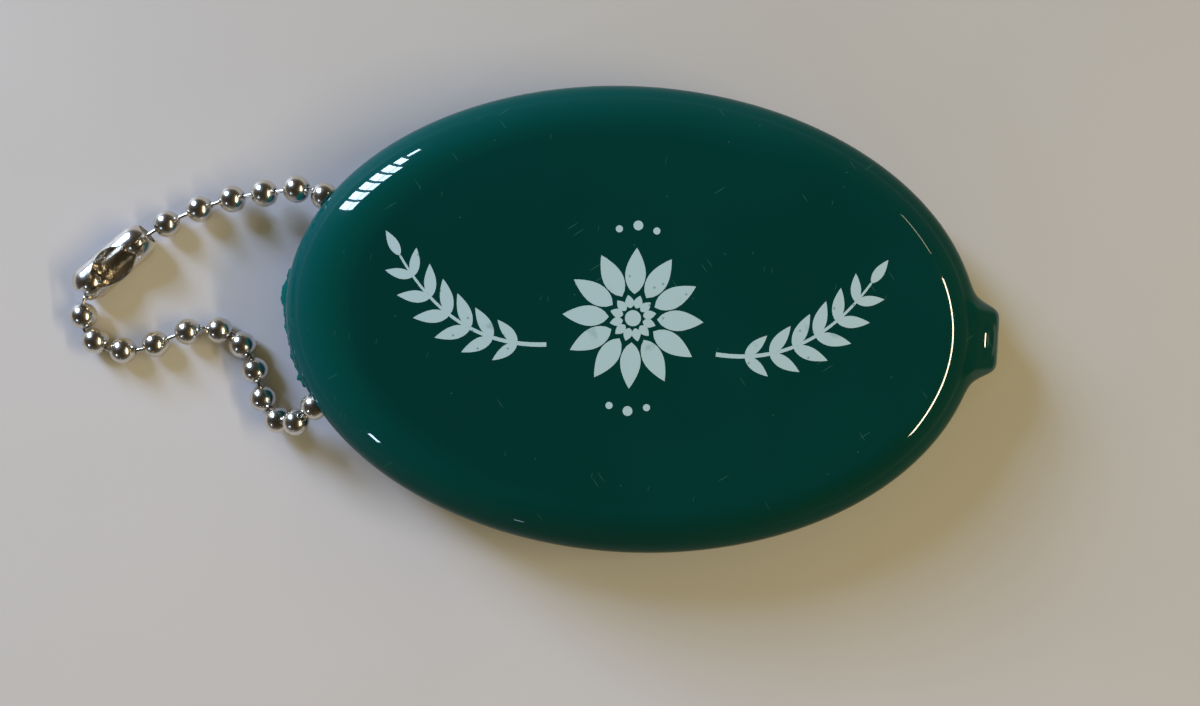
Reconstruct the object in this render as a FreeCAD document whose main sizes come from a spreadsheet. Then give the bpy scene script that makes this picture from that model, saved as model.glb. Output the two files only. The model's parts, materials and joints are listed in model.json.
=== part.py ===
import FreeCAD, Part
import math
import os

import Sketcher

# Squeeze coin purse: an oval hollow vinyl moulding with a slit back, and a ball chain through its left end.
# Millimetres. The purse lies face up on z = 0, with the centre of its oval at the origin, its moulded nub
# towards +X and its chain at the -X end.

SIZES = (
    # purse
    ("purse_length", 80.4),
    ("purse_width", 54.0),
    ("wall", 2.0),
    ("back_radius", 5.4),
    ("side_land", 0.6),
    ("rim_radius", 5.6),
    ("face_crown_radius", 570.0),
    # moulded nub at the right end
    ("nub_length", 2.3),
    ("nub_width", 7.2),
    ("nub_thickness", 6.0),
    ("nub_land", 0.5),
    ("nub_flare", 3.0),
    ("nub_edge", 0.35),
    ("dimple_length", 2.4),
    ("dimple_width", 0.9),
    ("dimple_depth", 0.5),
    ("dimple_inset", 1.0),
    # slit back
    ("slit_length", 62.0),
    ("slit_gap", 0.4),
    ("lip_width", 15.0),
    ("lip_clearance", 0.25),
    # holes for the chain
    ("chain_inset", 3.5),
    ("chain_standoff", 1.3),
    ("chain_hole_clearance", 0.4),
    # ball chain
    ("bead_diameter", 3.2),
    ("bead_wall", 0.18),
    ("bead_gap", 0.1),
    ("wire_diameter", 0.45),
    ("wire_clearance", 0.33),
    ("head_grip", 0.16),
    ("head_gap", 0.02),
    ("link_length", 2.44),
    # coupling that joins the two ends of the chain
    ("coupling_span", 7.0),
    ("coupling_wall", 0.3),
    ("cup_clearance", 0.6),
    ("cup_rest_gap", 0.05),
    ("coupling_end_hole", 2.3),
    ("slot_neck_width", 1.0),
    ("slot_window_clearance", 0.3),
    ("slot_window_length", 3.0),
    ("slot_taper", 1.4),
)

# How the chain lies, bead by bead outwards from each hole: the heading of the bead's own axis in degrees
# from +X, its dip towards the table in degrees before the drop is fitted, and how far its link is drawn out,
# from 0, where the heads meet inside the bead, to 1, taut.
ARM_A = (
    (188, 16, 0.25),
    (188, 18, 0.72),
    (194, 14, 0.75),
    (203, 6, 0.75),
    (212, -4, 0.75),
    (222, -4, 0.75),
)
ARM_B = (
    (220, 60, 0.0),
    (152, 30, 0.0),
    (113, 5, 0.0),
    (109, 0, 0.05),
    (133, 0, 0.05),
    (172, 0, 0.0),
    (203, 0, 0.35),
    (208, 0, 0.6),
    (184, 0, 0.5),
    (146, 0, 0.2),
    (94, -4, 0.0),
    (64, -4, 0.7),
)
# The beads in the mouths of the two holes, and the hidden bead next to each, by the heading of their axes.
MOUTH_A, MOUTH_B = 150, 222
HIDDEN_TURN, ACROSS = 109, 90
HIDDEN_DRAWN = 0.8
COUPLING_ROLL = -22
FIT_STEPS = 60
STEEPEST = 4.0

Vector = FreeCAD.Vector
ORIGIN = Vector(0, 0, 0)
X_AXIS = Vector(1, 0, 0)
Y_AXIS = Vector(0, 1, 0)
Z_AXIS = Vector(0, 0, 1)
START, END, CENTRE = 1, 2, 3
SKETCH_X, SKETCH_Y = -1, -2
WHOLE_TURN, HALF_TURN, QUARTER_TURN = 360, 180, 90

doc = FreeCAD.newDocument("coin_purse")
sheet = doc.addObject("Spreadsheet::Sheet", "Sizes")
for row, (alias, value) in enumerate(SIZES, 1):
    sheet.set(f"A{row}", str(value))
    sheet.setAlias(f"A{row}", alias)
doc.recompute()


def size(alias):
    return float(sheet.get(alias))


# Sizes that follow from the driving ones, as formulas for the features and as numbers for drawing them.
CROWN_RISE = "(Sizes.face_crown_radius - sqrt(Sizes.face_crown_radius^2 - (Sizes.purse_length / 2)^2))"
PURSE_HEIGHT = f"(Sizes.back_radius + Sizes.side_land + Sizes.rim_radius + {CROWN_RISE})"
EQUATOR = "(Sizes.back_radius + Sizes.side_land / 2)"
MOUTH_RADIUS = "(((Sizes.slit_length / 2)^2 + Sizes.lip_width^2) / (2 * Sizes.lip_width))"
BEAD_HOLE = "((Sizes.wire_diameter + Sizes.wire_clearance) / 2)"
HEAD_RADIUS = f"({BEAD_HOLE} + Sizes.head_grip / 2)"
CUP_RADIUS = "((Sizes.bead_diameter + Sizes.cup_clearance) / 2)"

half_length = size("purse_length") / 2
half_width = size("purse_width") / 2
wall = size("wall")
crown_radius = size("face_crown_radius")
crown_rise = crown_radius - math.sqrt(crown_radius**2 - half_length**2)
purse_height = size("back_radius") + size("side_land") + size("rim_radius") + crown_rise
equator = size("back_radius") + size("side_land") / 2
mouth_radius = ((size("slit_length") / 2) ** 2 + size("lip_width") ** 2) / (2 * size("lip_width"))

bead_radius = size("bead_diameter") / 2
bead_inner = bead_radius - size("bead_wall")
bead_pole = bead_radius - size("bead_wall") / 2
bead_hole = (size("wire_diameter") + size("wire_clearance")) / 2
head_radius = bead_hole + size("head_grip") / 2
cup_radius = bead_radius + size("cup_clearance") / 2
coupling_radius = cup_radius + size("coupling_wall")


def new_body(label):
    body = doc.addObject("PartDesign::Body", label)
    body.Label = label
    return body


def new_sketch(body, name, role, height=None):
    """A sketch on one of its body's own origin planes, raised by a formula where one is given."""
    sketch = body.newObject("Sketcher::SketchObject", name)
    plane = next(f for f in body.Origin.OriginFeatures if f.Role == role)
    sketch.AttachmentSupport = [(plane, "")]
    sketch.MapMode = "FlatFace"
    if height:
        sketch.setExpression("AttachmentOffset.Base.z", height)
    return sketch


def join(sketch, *corners):
    for first, first_end, second, second_end in corners:
        sketch.addConstraint(Sketcher.Constraint("Coincident", first, first_end, second, second_end))


def hold(sketch, kind, *where):
    sketch.addConstraint(Sketcher.Constraint(kind, *where))


def drive(sketch, formula, kind, *where):
    """A dimension of the sketch that follows a formula of the sheet."""
    index = sketch.addConstraint(Sketcher.Constraint(kind, *where))
    sketch.setExpression(f"Constraints[{index}]", formula)


def line(x0, y0, x1, y1):
    return Part.LineSegment(Vector(x0, y0, 0), Vector(x1, y1, 0))


def arc(x, y, radius, start, end):
    """An anticlockwise arc between two angles in degrees."""
    circle = Part.Circle(Vector(x, y, 0), Z_AXIS, radius)
    return Part.ArcOfCircle(circle, math.radians(start), math.radians(end))


def chain_of(sketch, *edges, smooth=()):
    """Adds edges that follow each other round a closed outline. Each is (geometry, end it starts from), and
    the ones listed as smooth run on into the next without a corner."""
    for geometry, _ in edges:
        sketch.addGeometry(geometry)
    for i, (_, first) in enumerate(edges):
        after = (i + 1) % len(edges)
        kind = "Tangent" if i in smooth else "Coincident"
        hold(sketch, kind, i, START + END - first, after, edges[after][1])


def pad(body, sketch, formula):
    feature = body.newObject("PartDesign::Pad", sketch.Name + "_pad")
    feature.Profile = sketch
    feature.setExpression("Length", formula)
    return feature


def pocket(body, sketch, formula, upwards=False):
    """A cut that has to take something away, or the build stops."""
    doc.recompute()
    before = body.Shape.Volume
    feature = body.newObject("PartDesign::Pocket", sketch.Name + "_cut")
    feature.Profile = sketch
    feature.Reversed = upwards
    feature.setExpression("Length", formula)
    doc.recompute()
    if not feature.Shape.Volume < before:
        raise ValueError(f"{sketch.Name} cuts nothing")
    return feature


def turn(body, sketch, kind, axis):
    feature = body.newObject(f"PartDesign::{kind}", sketch.Name + "_turned")
    feature.Profile = sketch
    feature.ReferenceAxis = (sketch, [axis])
    feature.Angle = WHOLE_TURN
    return feature


def fillet(body, base, name, edges, formula):
    feature = body.newObject("PartDesign::Fillet", name)
    feature.Base = (base, edges)
    feature.setExpression("Radius", formula)
    doc.recompute()
    return feature


def cut(name, base, tool):
    feature = doc.addObject("Part::Cut", name)
    feature.Base = base
    feature.Tool = tool
    return feature


def whole(name, quarter):
    """A quarter joined with its mirror images across the two upright planes through the origin."""
    piece = quarter
    for side, normal in (("half", X_AXIS), ("whole", Y_AXIS)):
        image = doc.addObject("Part::Mirroring", f"{name}_{side}_image")
        image.Source = piece
        image.Normal = normal
        joined = doc.addObject("Part::Fuse", f"{name}_{side}")
        joined.Base = piece
        joined.Tool = image
        joined.Refine = True
        piece = joined
    return piece


def pillow(name, inset, drawn_in):
    """An oval pad with a crowned face and rounded rims, drawn in all round by a formula and its value."""
    quarter = new_body(name)
    long_half = half_length - drawn_in
    short_half = half_width - drawn_in
    oval = Part.Ellipse(Vector(long_half, 0, 0), Vector(0, short_half, 0), ORIGIN)
    outline = new_sketch(quarter, name + "_outline", "XY_Plane", inset)
    chain_of(
        outline,
        (Part.ArcOfEllipse(oval, 0, math.pi / 2), START),
        (line(0, short_half, 0, 0), START),
        (line(0, 0, long_half, 0), START),
    )
    outline.exposeInternalGeometry(0)
    join(outline, (0, CENTRE, SKETCH_X, START), (1, END, SKETCH_X, START))
    hold(outline, "Vertical", 1)
    hold(outline, "Horizontal", 2)
    hold(outline, "Horizontal", 3)
    drive(outline, f"Sizes.purse_length - 2 * {inset}", "Distance", 3, 2 * long_half)
    drive(outline, f"Sizes.purse_width - 2 * {inset}", "Distance", 4, 2 * short_half)
    pad(quarter, outline, f"{PURSE_HEIGHT} - 2 * {inset}")

    # the crown: everything above a large sphere is turned away
    radius = crown_radius - drawn_in
    top = purse_height - drawn_in
    reach = half_length + wall
    over = top + wall
    low = top - radius + math.sqrt(radius**2 - reach**2)
    crown = new_sketch(quarter, name + "_crown", "XZ_Plane")
    chain_of(
        crown,
        (arc(0, top - radius, radius, math.degrees(math.acos(reach / radius)), QUARTER_TURN), END),
        (line(reach, low, reach, over), START),
        (line(reach, over, 0, over), START),
        (line(0, over, 0, top), START),
    )
    hold(crown, "Vertical", 1)
    hold(crown, "Horizontal", 2)
    hold(crown, "PointOnObject", 0, CENTRE, SKETCH_Y)
    hold(crown, "PointOnObject", 0, END, SKETCH_Y)
    hold(crown, "PointOnObject", 2, END, SKETCH_Y)
    drive(crown, f"Sizes.face_crown_radius - {inset}", "Radius", 0, radius)
    drive(crown, f"{PURSE_HEIGHT} - {inset}", "DistanceY", SKETCH_X, START, 0, END, top)
    drive(crown, "Sizes.purse_length / 2 + Sizes.wall", "DistanceX", SKETCH_X, START, 0, START, reach)
    drive(crown, "Sizes.wall", "DistanceY", 3, END, 3, START, over - top)
    crowned = turn(quarter, crown, "Groove", "V_Axis")
    doc.recompute()

    def rim_edge(shape, pick):
        """The highest or lowest of the edges that run from one upright plane to the other."""
        round_edges = [
            i
            for i, e in enumerate(shape.Edges)
            if max(v.X for v in e.Vertexes) > long_half / 2
            and max(v.Y for v in e.Vertexes) > short_half / 2
        ]
        return f"Edge{pick(round_edges, key=lambda i: shape.Edges[i].CenterOfMass.z) + 1}"

    face_rim = [rim_edge(crowned.Shape, max)]
    rounded = fillet(quarter, crowned, name + "_rim", face_rim, f"Sizes.rim_radius - {inset}")
    back_rim = [rim_edge(rounded.Shape, min)]
    fillet(quarter, rounded, name + "_back", back_rim, f"Sizes.back_radius - {inset}")
    return whole(name, quarter)


def nub_form():
    """The gate nub at the right end: a flared tab at mid height, with a shallow dimple in its top."""
    body = new_body("nub_form")
    tip = half_length + size("nub_length")
    side = size("nub_width") / 2
    flare = size("nub_flare")
    root = tip - size("nub_land")
    back = half_length - 2 * wall
    nub = new_sketch(body, "nub_outline", "XY_Plane", f"{EQUATOR} - Sizes.nub_thickness / 2")
    chain_of(
        nub,
        (line(tip, -side, tip, side), START),
        (line(tip, side, root, side), START),
        (arc(root, side + flare, flare, HALF_TURN, HALF_TURN + QUARTER_TURN), END),
        (line(root - flare, side + flare, back, side + flare), START),
        (line(back, side + flare, back, -side - flare), START),
        (line(back, -side - flare, root - flare, -side - flare), START),
        (arc(root, -side - flare, flare, QUARTER_TURN, HALF_TURN), END),
        (line(root, -side, tip, -side), START),
        smooth=(1, 6),
    )
    hold(nub, "Symmetric", 0, START, 0, END, SKETCH_X)
    for i in (1, 3, 5, 7):
        hold(nub, "Horizontal", i)
    hold(nub, "Symmetric", 4, START, 4, END, SKETCH_X)
    hold(nub, "Horizontal", 2, START, 2, CENTRE)
    hold(nub, "Equal", 1, 7)
    hold(nub, "Equal", 2, 6)
    drive(nub, "Sizes.purse_length / 2 + Sizes.nub_length", "DistanceX", SKETCH_X, START, 0, START, tip)
    drive(nub, "Sizes.nub_width", "DistanceY", 0, START, 0, END, 2 * side)
    drive(nub, "Sizes.nub_land", "DistanceX", 1, END, 1, START, tip - root)
    drive(nub, "Sizes.nub_flare", "Radius", 2, flare)
    drive(nub, "Sizes.purse_length / 2 - 2 * Sizes.wall", "DistanceX", SKETCH_X, START, 4, START, back)
    tab = pad(body, nub, "Sizes.nub_thickness")
    doc.recompute()
    tip_edges = [
        f"Edge{i}"
        for i, e in enumerate(tab.Shape.Edges, 1)
        if e.CenterOfMass.x > root + size("nub_land") / 2 and abs(e.CenterOfMass.y) < side / 2
    ]
    fillet(body, tab, "nub_tip", tip_edges, "Sizes.nub_edge")

    across = size("dimple_width") / 2
    along = size("dimple_length") / 2 - across
    middle = tip - size("dimple_inset")
    dimple = new_sketch(body, "dimple_outline", "XY_Plane", f"{EQUATOR} + Sizes.nub_thickness / 2")
    chain_of(
        dimple,
        (arc(middle, along, across, 0, HALF_TURN), START),
        (line(middle - across, along, middle - across, -along), START),
        (arc(middle, -along, across, HALF_TURN, WHOLE_TURN), START),
        (line(middle + across, -along, middle + across, along), START),
        smooth=(0, 1, 2, 3),
    )
    hold(dimple, "Equal", 0, 2)
    hold(dimple, "Symmetric", 1, START, 1, END, SKETCH_X)
    drive(dimple, "Sizes.dimple_width / 2", "Radius", 0, across)
    drive(dimple, "Sizes.dimple_length - Sizes.dimple_width", "DistanceY", 1, END, 1, START, 2 * along)
    from_tip = "Sizes.purse_length / 2 + Sizes.nub_length - Sizes.dimple_inset"
    drive(dimple, from_tip, "DistanceX", SKETCH_X, START, 0, CENTRE, middle)
    pocket(body, dimple, "Sizes.dimple_depth")
    return body


def mouth_form():
    """The lens of the back that the slit parts into two lips, as a cutter through the back wall."""
    body = new_body("mouth_form")
    tip = size("slit_length") / 2
    middle = mouth_radius - size("lip_width")
    spread = math.degrees(math.asin(tip / mouth_radius))
    lens = new_sketch(body, "mouth_outline", "XY_Plane", "-Sizes.wall / 2")
    chain_of(
        lens,
        (arc(0, -middle, mouth_radius, QUARTER_TURN - spread, QUARTER_TURN + spread), START),
        (arc(0, middle, mouth_radius, -QUARTER_TURN - spread, -QUARTER_TURN + spread), START),
    )
    hold(lens, "Equal", 0, 1)
    hold(lens, "Symmetric", 0, CENTRE, 1, CENTRE, SKETCH_X, START)
    hold(lens, "PointOnObject", 0, CENTRE, SKETCH_Y)
    drive(lens, MOUTH_RADIUS, "Radius", 0, mouth_radius)
    drive(lens, "Sizes.slit_length", "DistanceX", 0, END, 0, START, 2 * tip)
    pad(body, lens, "2 * Sizes.wall")
    return body


def lip(label, side):
    """Half of the back's lens, from the slit to the crease where it bends; side is 1 towards +Y or -1."""
    body = new_body(label)
    radius = mouth_radius - size("lip_clearance")
    middle = size("lip_width") - mouth_radius
    edge = size("slit_gap") / 2
    lift = math.degrees(math.asin((edge - middle) / radius))
    tip = radius * math.cos(math.radians(lift))
    first, last = (lift, HALF_TURN - lift) if side > 0 else (lift - HALF_TURN, -lift)
    outline = new_sketch(body, label + "_outline", "XY_Plane")
    chain_of(
        outline,
        (arc(0, side * middle, radius, first, last), START),
        (line(-side * tip, side * edge, side * tip, side * edge), START),
    )
    hold(outline, "Horizontal", 1)
    hold(outline, "PointOnObject", 0, CENTRE, SKETCH_Y)
    drive(outline, f"{MOUTH_RADIUS} - Sizes.lip_clearance", "Radius", 0, radius)
    ends = (0, CENTRE, SKETCH_X, START) if side > 0 else (SKETCH_X, START, 0, CENTRE)
    drive(outline, f"{MOUTH_RADIUS} - Sizes.lip_width", "DistanceY", *ends, -middle)
    ends = (SKETCH_X, START, 1, START) if side > 0 else (1, START, SKETCH_X, START)
    drive(outline, "Sizes.slit_gap / 2", "DistanceY", *ends, edge)
    pad(body, outline, "Sizes.wall")
    return body


def bead(label, centre, axis):
    """A hollow ball with a hole at each pole of its own axis."""
    body = new_body(label)
    outer = math.degrees(math.asin(bead_hole / bead_radius))
    inner = math.degrees(math.asin(bead_hole / bead_inner))
    out = math.sqrt(bead_radius**2 - bead_hole**2)
    into = math.sqrt(bead_inner**2 - bead_hole**2)
    section = new_sketch(body, label + "_section", "XY_Plane")
    chain_of(
        section,
        (arc(0, 0, bead_radius, outer, HALF_TURN - outer), START),
        (line(-out, bead_hole, -into, bead_hole), START),
        (arc(0, 0, bead_inner, inner, HALF_TURN - inner), END),
        (line(into, bead_hole, out, bead_hole), START),
    )
    join(section, (0, CENTRE, SKETCH_X, START), (2, CENTRE, SKETCH_X, START))
    hold(section, "Horizontal", 1)
    hold(section, "Horizontal", 3)
    drive(section, "Sizes.bead_diameter / 2", "Radius", 0, bead_radius)
    drive(section, "Sizes.bead_diameter / 2 - Sizes.bead_wall", "Radius", 2, bead_inner)
    drive(section, BEAD_HOLE, "DistanceY", SKETCH_X, START, 1, START, bead_hole)
    drive(section, BEAD_HOLE, "DistanceY", SKETCH_X, START, 3, START, bead_hole)
    turn(body, section, "Revolution", "H_Axis")
    body.Placement = FreeCAD.Placement(centre, FreeCAD.Rotation(X_AXIS, axis))
    return body


def link(label, centre, axis):
    """A short wire with a round head at each end, which the two beads hold."""
    body = new_body(label)
    wire = size("wire_diameter") / 2
    head = size("link_length") / 2
    neck = head - math.sqrt(head_radius**2 - wire**2)
    slope = math.degrees(math.asin(wire / head_radius))
    section = new_sketch(body, label + "_section", "XY_Plane")
    chain_of(
        section,
        (arc(head, 0, head_radius, 0, HALF_TURN - slope), START),
        (line(neck, wire, -neck, wire), START),
        (arc(-head, 0, head_radius, slope, HALF_TURN), START),
        (line(-head - head_radius, 0, head + head_radius, 0), START),
    )
    hold(section, "Horizontal", 1)
    for geometry, point in ((0, CENTRE), (2, CENTRE), (3, START), (3, END)):
        hold(section, "PointOnObject", geometry, point, SKETCH_X)
    hold(section, "Equal", 0, 2)
    drive(section, HEAD_RADIUS, "Radius", 0, head_radius)
    drive(section, "Sizes.link_length / 2", "DistanceX", SKETCH_X, START, 0, CENTRE, head)
    drive(section, "Sizes.link_length / 2", "DistanceX", 2, CENTRE, SKETCH_X, START, head)
    drive(section, "Sizes.wire_diameter / 2", "DistanceY", SKETCH_X, START, 1, START, wire)
    turn(body, section, "Revolution", "H_Axis")
    body.Placement = FreeCAD.Placement(centre, FreeCAD.Rotation(X_AXIS, axis))
    return body


def coupling(label, centre, axis):
    """The sleeve over the two end beads: a round-ended tube, with a hole at each end and a slot along it."""
    body = new_body(label)
    cup = size("coupling_span") / 2
    end_hole = size("coupling_end_hole") / 2
    outer = math.degrees(math.asin(end_hole / coupling_radius))
    inner = math.degrees(math.asin(end_hole / cup_radius))
    out = cup + math.sqrt(coupling_radius**2 - end_hole**2)
    into = cup + math.sqrt(cup_radius**2 - end_hole**2)
    section = new_sketch(body, label + "_section", "XY_Plane")
    chain_of(
        section,
        (arc(cup, 0, coupling_radius, outer, QUARTER_TURN), START),
        (line(cup, coupling_radius, -cup, coupling_radius), START),
        (arc(-cup, 0, coupling_radius, QUARTER_TURN, HALF_TURN - outer), START),
        (line(-out, end_hole, -into, end_hole), START),
        (arc(-cup, 0, cup_radius, QUARTER_TURN, HALF_TURN - inner), END),
        (line(-cup, cup_radius, cup, cup_radius), START),
        (arc(cup, 0, cup_radius, inner, QUARTER_TURN), END),
        (line(into, end_hole, out, end_hole), START),
        smooth=(0, 1, 4, 5),
    )
    join(section, (0, CENTRE, 6, CENTRE), (2, CENTRE, 4, CENTRE))
    for i in (1, 3, 5, 7):
        hold(section, "Horizontal", i)
    for i in (0, 2):
        hold(section, "PointOnObject", i, CENTRE, SKETCH_X)
    drive(section, CUP_RADIUS, "Radius", 6, cup_radius)
    drive(section, f"{CUP_RADIUS} + Sizes.coupling_wall", "Radius", 0, coupling_radius)
    drive(section, "Sizes.coupling_span / 2", "DistanceX", SKETCH_X, START, 0, CENTRE, cup)
    drive(section, "Sizes.coupling_span / 2", "DistanceX", 2, CENTRE, SKETCH_X, START, cup)
    drive(section, "Sizes.coupling_end_hole / 2", "DistanceY", SKETCH_X, START, 7, START, end_hole)
    drive(section, "Sizes.coupling_end_hole / 2", "DistanceY", SKETCH_X, START, 3, START, end_hole)
    turn(body, section, "Revolution", "H_Axis")

    # the slot: necks that pass the wire, and a window in the middle that lets a bead in
    neck = size("slot_neck_width") / 2
    window = bead_radius + size("slot_window_clearance") / 2
    near = size("slot_window_length") / 2
    far = near + size("slot_taper")
    past = cup + coupling_radius
    corners = [(past, -neck), (past, neck), (far, neck), (near, window), (-near, window), (-far, neck)]
    corners += [(-x, -y) for x, y in corners]
    slot = new_sketch(body, label + "_slot", "XY_Plane")
    chain_of(slot, *((line(*p, *corners[(i + 1) % len(corners)]), START) for i, p in enumerate(corners)))
    # each corner stands at its own two distances from the middle of the slot
    end_x = f"Sizes.coupling_span / 2 + {CUP_RADIUS} + Sizes.coupling_wall"
    far_x = "Sizes.slot_window_length / 2 + Sizes.slot_taper"
    near_x = "Sizes.slot_window_length / 2"
    neck_y = "Sizes.slot_neck_width / 2"
    window_y = "(Sizes.bead_diameter + Sizes.slot_window_clearance) / 2"
    half = [(end_x, neck_y), (end_x, neck_y), (far_x, neck_y)]
    half += [(near_x, window_y), (near_x, window_y), (far_x, neck_y)]
    for i, ((x, y), (x_formula, y_formula)) in enumerate(zip(corners, half + half)):
        across = (SKETCH_X, START, i, START) if x > 0 else (i, START, SKETCH_X, START)
        along = (SKETCH_X, START, i, START) if y > 0 else (i, START, SKETCH_X, START)
        drive(slot, x_formula, "DistanceX", *across, abs(x))
        drive(slot, y_formula, "DistanceY", *along, abs(y))
    pocket(body, slot, f"{CUP_RADIUS} + 2 * Sizes.coupling_wall", upwards=True)
    rolled = FreeCAD.Rotation(X_AXIS, COUPLING_ROLL)
    body.Placement = FreeCAD.Placement(centre, FreeCAD.Rotation(X_AXIS, axis) * rolled)
    return body


def direction(heading, dip=0):
    """A unit vector at a heading in degrees from +X, dipping below the horizontal."""
    turned, down = math.radians(heading), math.radians(dip)
    return Vector(math.cos(turned) * math.cos(down), math.sin(turned) * math.cos(down), -math.sin(down))


def unit(vector):
    return vector / vector.Length


# The bare stretch of a link between the poles of its two beads, taut and with its heads pushed together.
head_seat = math.sqrt(bead_inner**2 - bead_hole**2) - math.sqrt(head_radius**2 - bead_hole**2)
taut_wire = size("link_length") - 2 * (bead_pole - head_seat)
close_wire = size("link_length") - 2 * (bead_pole - head_radius - size("head_gap"))


def next_bead(centre, axis, next_axis, drawn):
    """The next bead's centre. The link leaves one pole and enters the other at the same tilt."""
    way = unit(axis + next_axis)
    tilt = way.dot(axis)
    touching = 2 * bead_radius + size("bead_gap") - 2 * bead_pole * tilt
    wire = max(close_wire + drawn * (taut_wire - close_wire), touching)
    return centre + axis * bead_pole + way * wire + next_axis * bead_pole


def lay(first, legs, steepness, climb):
    """Beads as (centre, axis), outwards from the first one."""
    beads = [first]
    for heading, dip, drawn in legs:
        axis = direction(heading, dip * (steepness if dip > 0 else climb))
        beads.append((next_bead(*beads[-1], axis, drawn), axis))
    return beads


def fit(height_of, wanted):
    """The factor, up to STEEPEST, at which a height that falls or rises steadily comes to the wanted one."""
    low, high = 0.0, STEEPEST
    rising = height_of(high) > height_of(low)
    for _ in range(FIT_STEPS):
        middle = (low + high) / 2
        if (height_of(middle) < wanted) == rising:
            low = middle
        else:
            high = middle
    return (low + high) / 2


def arm(first, legs):
    """An arm that comes down to the table and ends in a cup of the coupling."""
    steepness = fit(lambda f: lay(first, legs, f, 0)[-1][0].z, bead_radius)
    held = size("coupling_wall") + bead_radius + size("cup_rest_gap")
    climb = fit(lambda f: lay(first, legs, steepness, f)[-1][0].z, held)
    return lay(first, legs, steepness, climb)


def hidden_run(first, last_axis):
    """The beads across the purse, from the bead in one hole to the one in the other, evenly drawn out."""
    gap = 2 * first[0].y
    count = 2
    while True:
        headings = [HIDDEN_TURN] + [ACROSS] * (count - 2) + [HALF_TURN - HIDDEN_TURN]
        axes = [direction(h + HALF_TURN) for h in headings] + [last_axis]
        drawn_out = [first]
        slack = [first]
        for axis in axes:
            drawn_out.append((next_bead(*drawn_out[-1], axis, HIDDEN_DRAWN), axis))
            slack.append((next_bead(*slack[-1], axis, 0), axis))
        longest, shortest = (first[0].y - run[-1][0].y for run in (drawn_out, slack))
        if longest >= gap:
            break
        count += 1
    drawn = HIDDEN_DRAWN * (gap - shortest) / (longest - shortest)
    beads = [first]
    for axis in axes:
        beads.append((next_bead(*beads[-1], axis, drawn), axis))
    return beads


# The chain's route: out of hole A, round to the coupling, and back into hole B.
mouth_x = size("chain_inset") - half_length
mouth_y = half_width * math.sqrt(1 - (mouth_x / half_length) ** 2) + size("chain_standoff")
mouth_a = (Vector(mouth_x, mouth_y, equator), direction(MOUTH_A))
inward_a = (mouth_a[0], direction(MOUTH_A + HALF_TURN))
across_purse = hidden_run(inward_a, direction(MOUTH_B))
mouth_b = across_purse[-1]
arm_a = arm(mouth_a, ARM_A)
arm_b = arm(mouth_b, ARM_B)

# The loop is closed by turning arm B about its second bead's outer pole, until the coupling spans the ends.
pivot = arm_b[1][0] + arm_b[1][1] * bead_pole
to_a = arm_a[-1][0] - pivot
to_b = arm_b[-1][0] - pivot
to_a.z = to_b.z = 0
reach = (to_a.Length**2 + to_b.Length**2 - size("coupling_span") ** 2) / (2 * to_a.Length * to_b.Length)
closing_turn = math.degrees(to_b.getAngle(to_a) - math.acos(max(-1.0, min(1.0, reach))))
closing_turn *= 1 if to_b.cross(to_a).z > 0 else -1
swung = FreeCAD.Rotation(Z_AXIS, closing_turn)
arm_b[2:] = [(pivot + swung.multVec(p - pivot), swung.multVec(axis)) for p, axis in arm_b[2:]]

# All beads in one line, from the coupling's upper cup round to its lower one, with axes along that line.
chain = [(p, -axis) for p, axis in reversed(arm_a[1:])] + across_purse + arm_b[1:]


def build_purse():
    outer = doc.addObject("Part::Fuse", "outer_form")
    outer.Base = pillow("purse_form", "0", 0)
    outer.Tool = nub_form()
    shell = cut("hollow_form", outer, pillow("pocket_form", "Sizes.wall", wall))
    shell = cut("open_form", shell, mouth_form())
    for name, (inside, outside) in (("hole_a", across_purse[1::-1]), ("hole_b", across_purse[-2:])):
        way = unit(outside[0] - inside[0])
        drill = doc.addObject("Part::Cylinder", name + "_form")
        drill.setExpression("Radius", "(Sizes.bead_diameter + Sizes.chain_hole_clearance) / 2")
        drill.setExpression("Height", "2 * Sizes.bead_diameter + 2 * Sizes.wall")
        drill.Placement = FreeCAD.Placement(inside[0], FreeCAD.Rotation(Z_AXIS, way))
        shell = cut(name, shell, drill)
    shell.Label = "purse_shell"
    return [shell, lip("mouth_lip_upper", 1), lip("mouth_lip_lower", -1)]


def build_chain():
    nodes = [bead(f"chain_bead_{i:02d}", *placed) for i, placed in enumerate(chain, 1)]
    for i, ((p, axis), (q, next_axis)) in enumerate(zip(chain, chain[1:]), 1):
        leaves = p + axis * bead_pole
        enters = q - next_axis * bead_pole
        nodes.append(link(f"chain_link_{i:02d}", (leaves + enters) / 2, unit(enters - leaves)))
    upper, lower = chain[0][0], chain[-1][0]
    middle = (upper + lower) / 2
    middle.z = coupling_radius
    along = lower - upper
    along.z = 0
    nodes.append(coupling("chain_coupling", middle, unit(along)))
    return nodes


nodes = build_purse() + build_chain()
doc.recompute()
for thing in doc.Objects:
    if "Invalid" in thing.State or "Error" in thing.State:
        raise ValueError(f"{thing.Label} failed")
for node in nodes:
    if node.Shape.isNull() or not node.Shape.isValid() or len(node.Shape.Solids) != 1:
        raise ValueError(f"{node.Label} is not one sound solid")
os.makedirs("parts", exist_ok=True)
for node in nodes:
    node.Shape.exportStep(f"parts/{node.Label}.step")
print(len(nodes), "pieces; the loop was closed by a turn of", round(closing_turn, 2), "degrees")
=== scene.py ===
import json
import math

import bpy
import numpy as np
from mathutils import Matrix, Vector

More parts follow.
